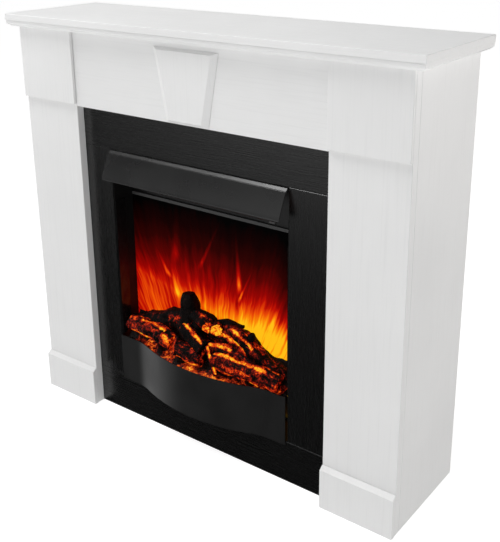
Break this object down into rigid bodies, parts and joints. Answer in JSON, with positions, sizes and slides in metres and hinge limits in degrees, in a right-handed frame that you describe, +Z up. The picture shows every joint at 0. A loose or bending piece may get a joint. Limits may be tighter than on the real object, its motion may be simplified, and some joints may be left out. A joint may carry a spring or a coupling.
{
  "type": "electric fireplace",
  "caption": "Free-standing mantel fireplace: white shelf, pilasters and keystone round a black electric fire with a hood, log effect, bowed apron, fan heater and rocker switches.",
  "frame": {"origin": "on the floor under the middle of the bounding box", "axes": "+X to the right seen from the front, +Y from the front towards the wall, +Z up"},
  "size_m": [1.036, 0.278, 0.94],
  "materials": {
    "white_paint": "satin",
    "raw_board": "matte",
    "zinc": "satin",
    "black_foil": "satin",
    "black_steel": "satin",
    "rubber": "matte",
    "gloss_black": "gloss",
    "flame_acrylic": "satin",
    "satin_black": "satin",
    "log_resin": "matte",
    "switch_plastic": "gloss",
    "circuit_board": "satin",
    "alloy": "satin",
    "element_core": "matte",
    "black_plastic": "matte"
  },
  "bodies": {
    "fireplace": {"shelf_top": "white_paint", "shelf_underboard": "white_paint", "frieze_board": "white_paint", "pilaster_left": "white_paint", "pilaster_right": "white_paint", "corner_block_left": "white_paint", "corner_block_right": "white_paint", "side_panel_left": "white_paint", "side_panel_right": "white_paint", "plinth_block_left": "white_paint", "plinth_block_right": "white_paint", "keystone": "white_paint", "insert_shelf": "raw_board", "front_stretcher": "raw_board", "rear_bottom_rail": "raw_board", "rear_top_rail": "raw_board", "angle_bracket_front_left": "zinc", "angle_bracket_front_right": "zinc", "angle_bracket_rear_left": "zinc", "angle_bracket_rear_right": "zinc", "insert_bracket_left": "zinc", "insert_bracket_right": "zinc", "fascia_top_rail": "black_foil", "fascia_bottom_rail": "black_foil", "fascia_stile_left": "black_foil", "fascia_stile_right": "black_foil", "casing_base": "black_steel", "casing_top": "black_steel", "casing_left": "black_steel", "casing_right": "black_steel", "casing_back": "black_steel", "fan_housing": "black_steel", "fan_end_plate_left": "black_steel", "fan_end_plate_right": "black_steel", "spindle_bracket": "black_steel", "cable_gland": "rubber", "firebox_wall_left": "gloss_black", "firebox_wall_right": "gloss_black", "flame_screen": "flame_acrylic", "heater_deck": "satin_black", "apron": "satin_black", "hood": "satin_black", "control_plate": "satin_black", "outlet_grille": "satin_black", "log_set": "log_resin", "control_board": "circuit_board", "flame_led_strip": "circuit_board", "ember_led_strip": "circuit_board", "flame_reflector": "alloy", "heating_element": "element_core", "thermal_cutout": "black_plastic", "fan_motor": "black_plastic", "spindle_motor": "black_plastic", "terminal_block": "black_plastic"},
    "fan_rotor": {"fan_impeller": "alloy"},
    "spindle": {"flame_spindle": "alloy"},
    "power_rocker": {"power_switch": "switch_plastic"},
    "low_heat_rocker": {"low_heat_switch": "switch_plastic"},
    "high_heat_rocker": {"high_heat_switch": "switch_plastic"},
    "knob": {"dimmer_knob": "switch_plastic"}
  },
  "joints": [
    {"name": "fan_spin", "type": "hinge", "parent": "fireplace", "child": "fan_rotor", "pos_m": [-0.07565, 0.0358, 0.598], "axis": [1, 0, 0], "continuous": true},
    {"name": "spindle_spin", "type": "hinge", "parent": "fireplace", "child": "spindle", "pos_m": [-0.01065, 0.0038, 0.15], "axis": [1, 0, 0], "continuous": true},
    {"name": "power_press", "type": "hinge", "parent": "fireplace", "child": "power_rocker", "pos_m": [0.14585, -0.0321, 0.5545], "axis": [1, 0, 0], "range_deg": [0, 14]},
    {"name": "low_heat_press", "type": "hinge", "parent": "fireplace", "child": "low_heat_rocker", "pos_m": [0.14585, -0.0321, 0.5725], "axis": [1, 0, 0], "range_deg": [-14, 0]},
    {"name": "high_heat_press", "type": "hinge", "parent": "fireplace", "child": "high_heat_rocker", "pos_m": [0.14585, -0.0321, 0.5905], "axis": [1, 0, 0], "range_deg": [-14, 0]},
    {"name": "dimmer_turn", "type": "hinge", "parent": "fireplace", "child": "knob", "pos_m": [0.14585, -0.0335, 0.619], "axis": [0, 1, 0], "range_deg": [-135, 135]}
  ]
}
